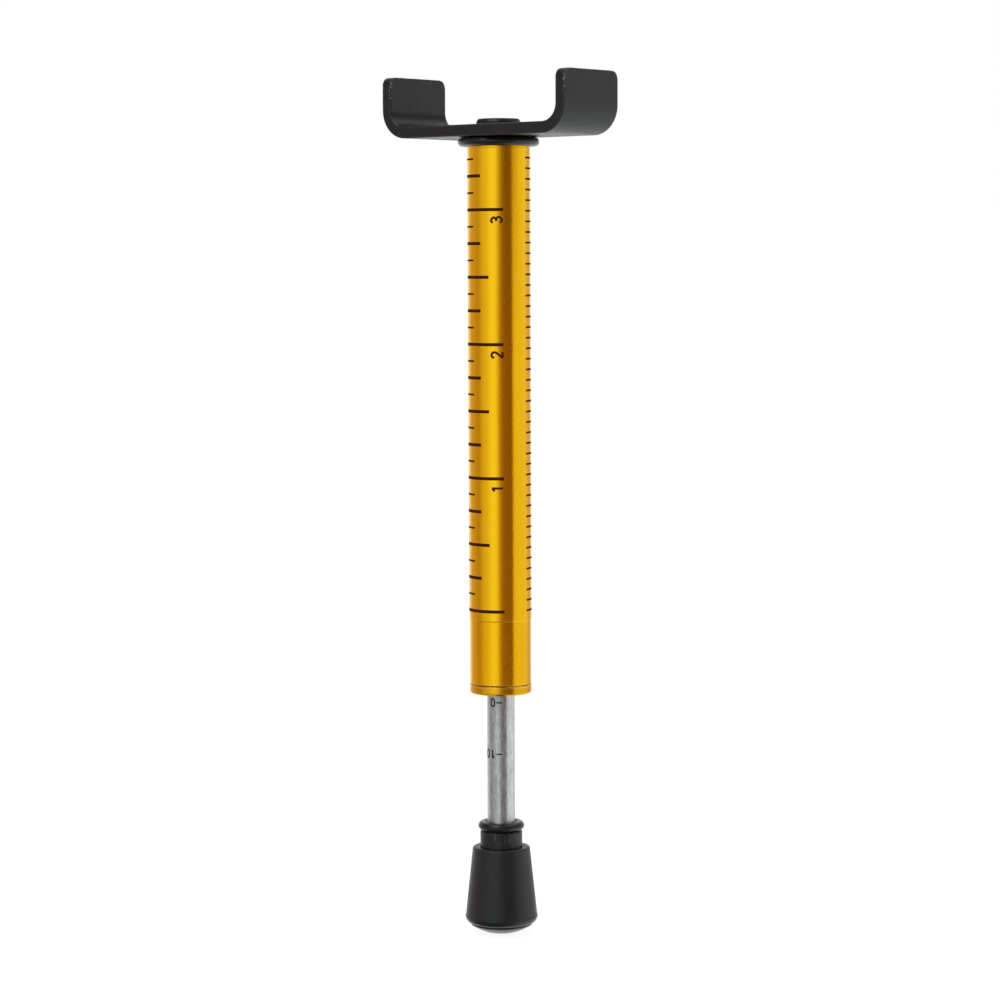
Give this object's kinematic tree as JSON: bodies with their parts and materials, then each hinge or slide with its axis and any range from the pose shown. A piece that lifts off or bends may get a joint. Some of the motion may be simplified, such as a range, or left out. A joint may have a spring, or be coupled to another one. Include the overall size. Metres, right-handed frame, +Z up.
{
  "type": "belt tension gauge",
  "caption": "Spring barrel with a belt fork on top, a sprung plunger with a tapered knob below, and rubber marker rings that hold the deflection and force readings.",
  "frame": {"origin": "lowest point of the knob's domed end cap, on the barrel's axis", "axes": "+Z up the barrel towards the fork, X along the fork from arm to arm, Y across the fork, along the belt"},
  "size_m": [0.0452, 0.016, 0.165],
  "materials": {
    "fork_finish": "black coating with a fine satin grain",
    "rivet_finish": "black satin coating",
    "plug_aluminium": "turned",
    "gold_anodised": "gold anodised, fine drawn grain",
    "bush_gold": "gold anodised, turned",
    "film_gold": "clear film over the gold tube",
    "scale_ink": "black print",
    "rod_ink": "grey-black print",
    "nylon_white": "natural nylon",
    "washer_zinc": "zinc plated",
    "spring_steel": "drawn spring wire",
    "piston_brass": "turned brass",
    "clip_steel": "blackened spring steel",
    "rod_steel": "satin zinc plated",
    "neck_rubber": "satin",
    "knob_plastic": "fine moulded satin",
    "cap_plastic": "semi gloss",
    "screw_steel": "zinc plated",
    "ring_rubber": "smooth nitrile rubber"
  },
  "bodies": {
    "barrel": {"belt_fork": "fork_finish", "fork_rivet": "rivet_finish", "top_plug": "plug_aluminium", "barrel_tube": "gold_anodised", "scale_film": "film_gold", "inch_scale_marks": "scale_ink", "metric_scale_marks": "scale_ink", "end_bush": "bush_gold", "stop_washer": "nylon_white", "spring_top_washer": "washer_zinc", "compression_spring": "spring_steel"},
    "spring_seat": {"spring_seat_piston": "piston_brass", "clip_washer": "washer_zinc"},
    "plunger": {"plunger_rod": "rod_steel", "rod_clip": "clip_steel", "force_scale_marks": "rod_ink", "knob_neck": "neck_rubber", "knob_body": "knob_plastic", "knob_washer": "washer_zinc", "knob_screw": "screw_steel", "knob_end_cap": "cap_plastic"},
    "force_marker": {"force_ring": "ring_rubber"},
    "deflection_marker": {"deflection_ring": "ring_rubber"}
  },
  "joints": [
    {"name": "plunger_slide", "type": "slide", "parent": "barrel", "child": "spring_seat", "axis": [0, 0, 1], "range_m": [0, 0.0125], "stiffness_N_per_m": 4450, "springref_m": -0.0008, "deforming": ["compression_spring"]},
    {"name": "plunger_spin", "type": "hinge", "parent": "spring_seat", "child": "plunger", "pos_m": [0, 0, 0.06], "axis": [0, 0, 1], "continuous": true},
    {"name": "force_ring_slide", "type": "slide", "parent": "plunger", "child": "force_marker", "axis": [0, 0, 1], "range_m": [0, 0.0124]},
    {"name": "deflection_ring_slide", "type": "slide", "parent": "barrel", "child": "deflection_marker", "axis": [0, 0, -1], "range_m": [0, 0.1022]}
  ]
}
